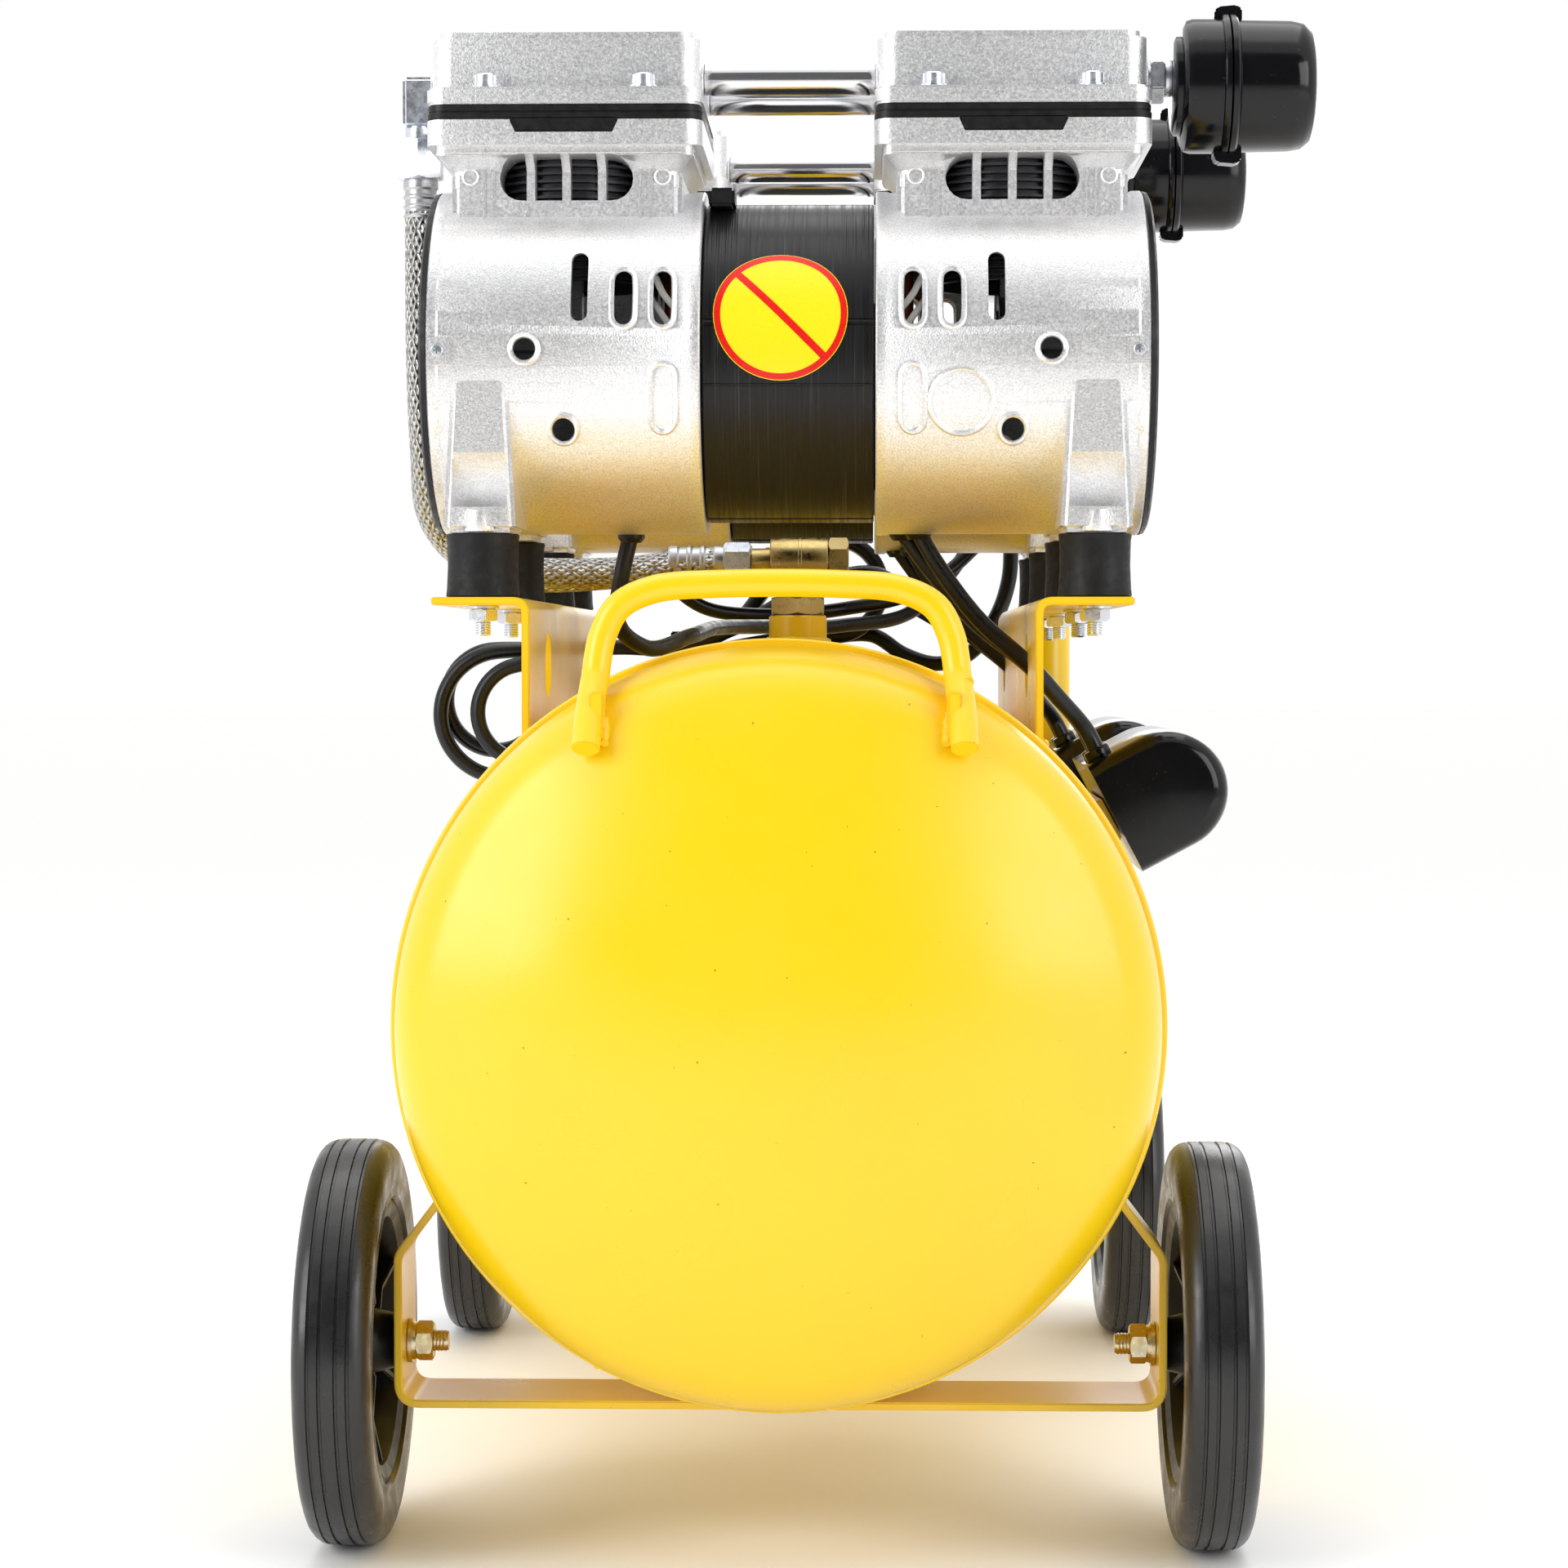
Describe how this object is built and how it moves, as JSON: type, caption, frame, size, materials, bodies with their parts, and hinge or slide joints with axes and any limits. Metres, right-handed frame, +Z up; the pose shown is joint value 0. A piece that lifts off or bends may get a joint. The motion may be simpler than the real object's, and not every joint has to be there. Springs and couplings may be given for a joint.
{
  "type": "air compressor",
  "caption": "Oil-free air compressor: piston pumps on rubber mounts over a horizontal yellow tank with a lifting handle, four wheels and a hanked mains cord.",
  "frame": {"origin": "on the floor, midway between the outermost pieces on each side, mains cord left out", "axes": "+X to the right seen from the handle end, +Y from the handle end to the control end, +Z up"},
  "size_m": [0.3855, 0.6206, 0.5801],
  "materials": {
    "yellow_paint": "gloss",
    "tyre_rubber": "satin",
    "black_lamination": "satin",
    "chrome_tube": "polished",
    "black_plastic": "gloss",
    "cast_aluminium": "satin",
    "black_rubber": "matte",
    "plated_steel": "satin",
    "brass": "satin",
    "braided_steel": "satin",
    "cord_jacket": "satin",
    "red_plastic": "gloss"
  },
  "bodies": {
    "root": {"tank": "yellow_paint", "front_axle_frame": "yellow_paint", "rear_axle_frame": "yellow_paint", "left_motor_rail": "yellow_paint", "right_motor_rail": "yellow_paint", "handle": "yellow_paint", "front_stator": "black_lamination", "front_intake_tube": "chrome_tube", "front_exhaust_tube": "chrome_tube", "front_air_filter": "black_plastic", "front_left_casing": "cast_aluminium", "front_left_end_cover": "black_plastic", "front_left_head": "cast_aluminium", "front_left_fore_foot": "black_rubber", "front_left_aft_foot": "black_rubber", "front_right_casing": "cast_aluminium", "front_right_end_cover": "black_plastic", "front_right_head": "cast_aluminium", "front_right_fore_foot": "black_rubber", "front_right_aft_foot": "black_rubber", "rear_stator": "black_lamination", "rear_intake_tube": "chrome_tube", "rear_exhaust_tube": "chrome_tube", "rear_air_filter": "black_plastic", "rear_left_casing": "cast_aluminium", "rear_left_end_cover": "black_plastic", "rear_left_head": "cast_aluminium", "rear_left_fore_foot": "black_rubber", "rear_left_aft_foot": "black_rubber", "rear_right_casing": "cast_aluminium", "rear_right_end_cover": "black_plastic", "rear_right_head": "cast_aluminium", "rear_right_fore_foot": "black_rubber", "rear_right_aft_foot": "black_rubber", "check_valve": "brass", "front_hose": "braided_steel", "rear_hose": "braided_steel", "front_capacitor_box": "black_plastic", "rear_capacitor_box": "black_plastic", "outlet_manifold": "brass", "pressure_switch": "black_plastic", "pressure_gauge": "plated_steel", "mains_cord_tail": "cord_jacket", "mains_cord_hank": "cord_jacket", "mains_plug": "cord_jacket"},
    "front_left_wheel": {"front_left_wheel": "tyre_rubber"},
    "front_right_wheel": {"front_right_wheel": "tyre_rubber"},
    "rear_left_wheel": {"rear_left_wheel": "tyre_rubber"},
    "rear_right_wheel": {"rear_right_wheel": "tyre_rubber"},
    "front_rotor": {"front_rotor": "plated_steel"},
    "front_left_piston": {"front_left_piston": "cast_aluminium"},
    "front_right_piston": {"front_right_piston": "cast_aluminium"},
    "rear_rotor": {"rear_rotor": "plated_steel"},
    "rear_left_piston": {"rear_left_piston": "cast_aluminium"},
    "rear_right_piston": {"rear_right_piston": "cast_aluminium"},
    "drain_knob": {"drain_knob": "brass"},
    "switch_knob": {"switch_knob": "red_plastic"},
    "regulator_knob": {"regulator_knob": "black_plastic"},
    "coupler_sleeve": {"coupler_sleeve": "plated_steel"},
    "safety_ring": {"safety_ring": "plated_steel"}
  },
  "joints": [
    {"name": "front_left_wheel_roll", "type": "hinge", "parent": "root", "child": "front_left_wheel", "pos_m": [-0.1735, -0.21, 0.075], "axis": [1, 0, 0], "continuous": true},
    {"name": "front_right_wheel_roll", "type": "hinge", "parent": "root", "child": "front_right_wheel", "pos_m": [0.1435, -0.21, 0.075], "axis": [1, 0, 0], "continuous": true},
    {"name": "rear_left_wheel_roll", "type": "hinge", "parent": "root", "child": "rear_left_wheel", "pos_m": [-0.1735, 0.21, 0.075], "axis": [1, 0, 0], "continuous": true},
    {"name": "rear_right_wheel_roll", "type": "hinge", "parent": "root", "child": "rear_right_wheel", "pos_m": [0.1435, 0.21, 0.075], "axis": [1, 0, 0], "continuous": true},
    {"name": "front_rotor_spin", "type": "hinge", "parent": "root", "child": "front_rotor", "pos_m": [-0.013, -0.125, 0.445], "axis": [1, 0, 0], "continuous": true},
    {"name": "front_left_piston_crank", "type": "hinge", "parent": "front_rotor", "child": "front_left_piston", "pos_m": [-0.098, -0.125, 0.438], "axis": [1, 0, 0], "continuous": true},
    {"name": "front_right_piston_crank", "type": "hinge", "parent": "front_rotor", "child": "front_right_piston", "pos_m": [0.072, -0.125, 0.452], "axis": [1, 0, 0], "continuous": true},
    {"name": "rear_rotor_spin", "type": "hinge", "parent": "root", "child": "rear_rotor", "pos_m": [-0.013, 0.125, 0.445], "axis": [1, 0, 0], "continuous": true},
    {"name": "rear_left_piston_crank", "type": "hinge", "parent": "rear_rotor", "child": "rear_left_piston", "pos_m": [-0.098, 0.125, 0.438], "axis": [1, 0, 0], "continuous": true},
    {"name": "rear_right_piston_crank", "type": "hinge", "parent": "rear_rotor", "child": "rear_right_piston", "pos_m": [0.072, 0.125, 0.452], "axis": [1, 0, 0], "continuous": true},
    {"name": "drain_knob_turn", "type": "hinge", "parent": "root", "child": "drain_knob", "pos_m": [-0.015, 0.06, 0.033], "axis": [0, 0, 1], "range_deg": [0, 360]},
    {"name": "switch_knob_pull", "type": "slide", "parent": "root", "child": "switch_knob", "axis": [0, 0, 1], "range_m": [0, 0.006]},
    {"name": "regulator_knob_turn", "type": "hinge", "parent": "root", "child": "regulator_knob", "pos_m": [0.091, 0.276, 0.413], "axis": [0, 1, 0], "range_deg": [0, 1080]},
    {"name": "coupler_sleeve_slide", "type": "slide", "parent": "root", "child": "coupler_sleeve", "axis": [0, -1, 0], "range_m": [0, 0.005], "stiffness_N_per_m": 800},
    {"name": "safety_ring_pull", "type": "slide", "parent": "root", "child": "safety_ring", "axis": [-1, 0, 0], "range_m": [0, 0.004], "stiffness_N_per_m": 1500}
  ],
  "couplings": [
    {"joint": "front_left_piston_crank", "follows": "front_rotor_spin", "ratio": -1},
    {"joint": "front_right_piston_crank", "follows": "front_rotor_spin", "ratio": -1},
    {"joint": "rear_left_piston_crank", "follows": "rear_rotor_spin", "ratio": -1},
    {"joint": "rear_right_piston_crank", "follows": "rear_rotor_spin", "ratio": -1}
  ]
}
